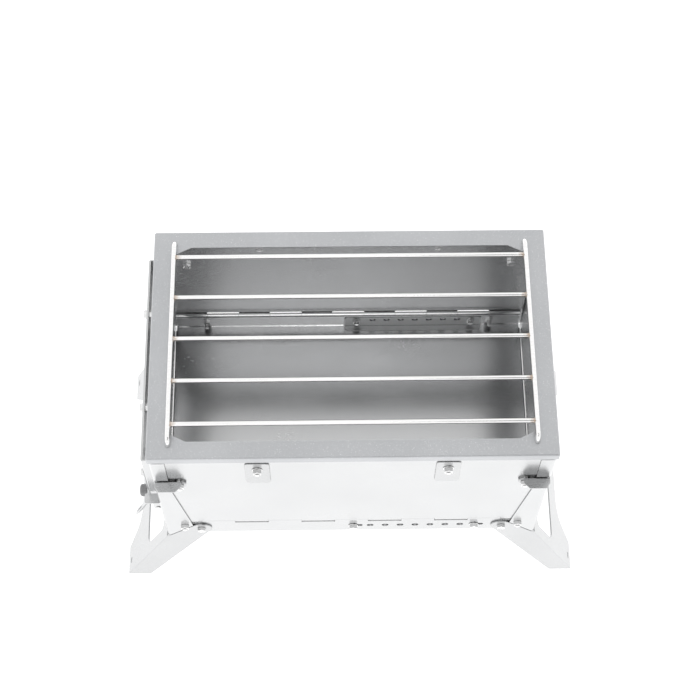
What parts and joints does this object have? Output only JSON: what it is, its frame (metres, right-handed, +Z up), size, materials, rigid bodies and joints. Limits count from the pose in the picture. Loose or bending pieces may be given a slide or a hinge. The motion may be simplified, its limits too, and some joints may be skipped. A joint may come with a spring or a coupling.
{
  "type": "folding camp grill",
  "caption": "Folding sheet-steel camp grill: hinged firebox on splayed leg stands, lift-off frame and wire grate, air dampers and a side fuel door.",
  "frame": {"origin": "on the ground, under the middle of the box", "axes": "+X along the hinges to the right, -Y to the front, +Z up"},
  "size_m": [0.51, 0.2732, 0.3605],
  "materials": {
    "body_steel": "bright cold-rolled stainless sheet",
    "leg_steel": "satin stainless sheet",
    "frame_steel": "fine matt grain stainless",
    "grate_wire": "polished stainless wire",
    "weld": "heat-tinted weld beads",
    "damper_steel": "dark satin strip",
    "fitting_steel": "bright stainless plate",
    "door_steel": "bright stainless sheet",
    "knob": "dark knurled steel",
    "hardware": "bright stainless fasteners"
  },
  "bodies": {
    "firebox": {"tray": "body_steel", "left_end_wall": "body_steel", "right_end_wall": "body_steel", "front_hinge_pin": "hardware", "rear_hinge_pin": "hardware", "end_wall_bolts": "hardware", "end_wall_nuts": "hardware", "leg_pivot_bolts": "hardware", "leg_pivot_nuts": "hardware", "door_hinge_rivets": "hardware"},
    "front_wall": {"front_wall": "body_steel", "front_wall_bolts": "hardware", "front_wall_nuts": "hardware", "front_wall_washers": "hardware"},
    "front_damper": {"front_damper": "damper_steel", "front_damper_bolts": "hardware", "front_damper_nuts": "hardware"},
    "rear_wall": {"rear_wall": "body_steel", "rear_wall_bolts": "hardware", "rear_wall_nuts": "hardware", "rear_wall_washers": "hardware"},
    "rear_damper": {"rear_damper": "damper_steel", "rear_damper_bolts": "hardware", "rear_damper_nuts": "hardware"},
    "front_left_latch": {"front_left_latch": "fitting_steel"},
    "front_left_clip": {"front_left_clip": "fitting_steel"},
    "front_right_latch": {"front_right_latch": "fitting_steel"},
    "front_right_clip": {"front_right_clip": "fitting_steel"},
    "rear_left_latch": {"rear_left_latch": "fitting_steel"},
    "rear_left_clip": {"rear_left_clip": "fitting_steel"},
    "rear_right_latch": {"rear_right_latch": "fitting_steel"},
    "rear_right_clip": {"rear_right_clip": "fitting_steel"},
    "left_leg_stand": {"left_leg_stand": "leg_steel"},
    "right_leg_stand": {"right_leg_stand": "leg_steel"},
    "top_frame": {"top_frame": "frame_steel"},
    "grate": {"grate_side_rods": "grate_wire", "grate_crossbars": "grate_wire", "grate_welds": "weld"},
    "fuel_door": {"fuel_door": "door_steel", "latch_bracket": "fitting_steel", "door_bolts": "hardware", "door_nuts": "hardware", "door_latch_pivot": "hardware", "door_latch_nut": "hardware", "door_latch_knob": "knob"},
    "door_latch_lever": {"door_latch_lever": "door_steel"}
  },
  "joints": [
    {"name": "front_wall_fold", "type": "hinge", "parent": "firebox", "child": "front_wall", "pos_m": [0, -0.1208, 0.169], "axis": [-1, 0, 0], "range_deg": [0, 90]},
    {"name": "rear_wall_fold", "type": "hinge", "parent": "firebox", "child": "rear_wall", "pos_m": [0, 0.1208, 0.169], "axis": [1, 0, 0], "range_deg": [0, 78]},
    {"name": "left_leg_fold", "type": "hinge", "parent": "firebox", "child": "left_leg_stand", "pos_m": [-0.16, 0, 0.153], "axis": [0, -1, 0], "range_deg": [0, 108]},
    {"name": "right_leg_fold", "type": "hinge", "parent": "firebox", "child": "right_leg_stand", "pos_m": [0.16, 0, 0.153], "axis": [0, 1, 0], "range_deg": [0, 66]},
    {"name": "front_damper_slide", "type": "slide", "parent": "firebox", "child": "front_damper", "axis": [1, 0, 0], "range_m": [0, 0.0075]},
    {"name": "rear_damper_slide", "type": "slide", "parent": "firebox", "child": "rear_damper", "axis": [1, 0, 0], "range_m": [-0.0075, 0]},
    {"name": "top_frame_lift", "type": "slide", "parent": "firebox", "child": "top_frame", "axis": [0, 0, 1], "range_m": [0, 0.08]},
    {"name": "grate_lift", "type": "slide", "parent": "top_frame", "child": "grate", "axis": [0, 0, 1], "range_m": [0, 0.1]},
    {"name": "fuel_door_hinge", "type": "hinge", "parent": "firebox", "child": "fuel_door", "pos_m": [-0.2035, 0, 0.183], "axis": [0, -1, 0], "range_deg": [0, 90]},
    {"name": "door_latch_turn", "type": "hinge", "parent": "fuel_door", "child": "door_latch_lever", "pos_m": [-0.2109, -0.106, 0.218], "axis": [1, 0, 0], "range_deg": [0, 90]},
    {"name": "front_left_latch_turn", "type": "hinge", "parent": "front_wall", "child": "front_left_latch", "pos_m": [-0.172, -0.1262, 0.285], "axis": [0, -1, 0], "range_deg": [0, 90]},
    {"name": "front_left_clip_turn", "type": "hinge", "parent": "front_wall", "child": "front_left_clip", "pos_m": [-0.0935, -0.1248, 0.321], "axis": [0, -1, 0], "range_deg": [-90, 90]},
    {"name": "front_right_latch_turn", "type": "hinge", "parent": "front_wall", "child": "front_right_latch", "pos_m": [0.172, -0.1262, 0.285], "axis": [0, 1, 0], "range_deg": [0, 90]},
    {"name": "front_right_clip_turn", "type": "hinge", "parent": "front_wall", "child": "front_right_clip", "pos_m": [0.0935, -0.1248, 0.321], "axis": [0, 1, 0], "range_deg": [-90, 90]},
    {"name": "rear_left_latch_turn", "type": "hinge", "parent": "rear_wall", "child": "rear_left_latch", "pos_m": [-0.172, 0.1262, 0.285], "axis": [0, -1, 0], "range_deg": [0, 90]},
    {"name": "rear_left_clip_turn", "type": "hinge", "parent": "rear_wall", "child": "rear_left_clip", "pos_m": [-0.0935, 0.1248, 0.321], "axis": [0, -1, 0], "range_deg": [-90, 90]},
    {"name": "rear_right_latch_turn", "type": "hinge", "parent": "rear_wall", "child": "rear_right_latch", "pos_m": [0.172, 0.1262, 0.285], "axis": [0, 1, 0], "range_deg": [0, 90]},
    {"name": "rear_right_clip_turn", "type": "hinge", "parent": "rear_wall", "child": "rear_right_clip", "pos_m": [0.0935, 0.1248, 0.321], "axis": [0, 1, 0], "range_deg": [-90, 90]}
  ]
}
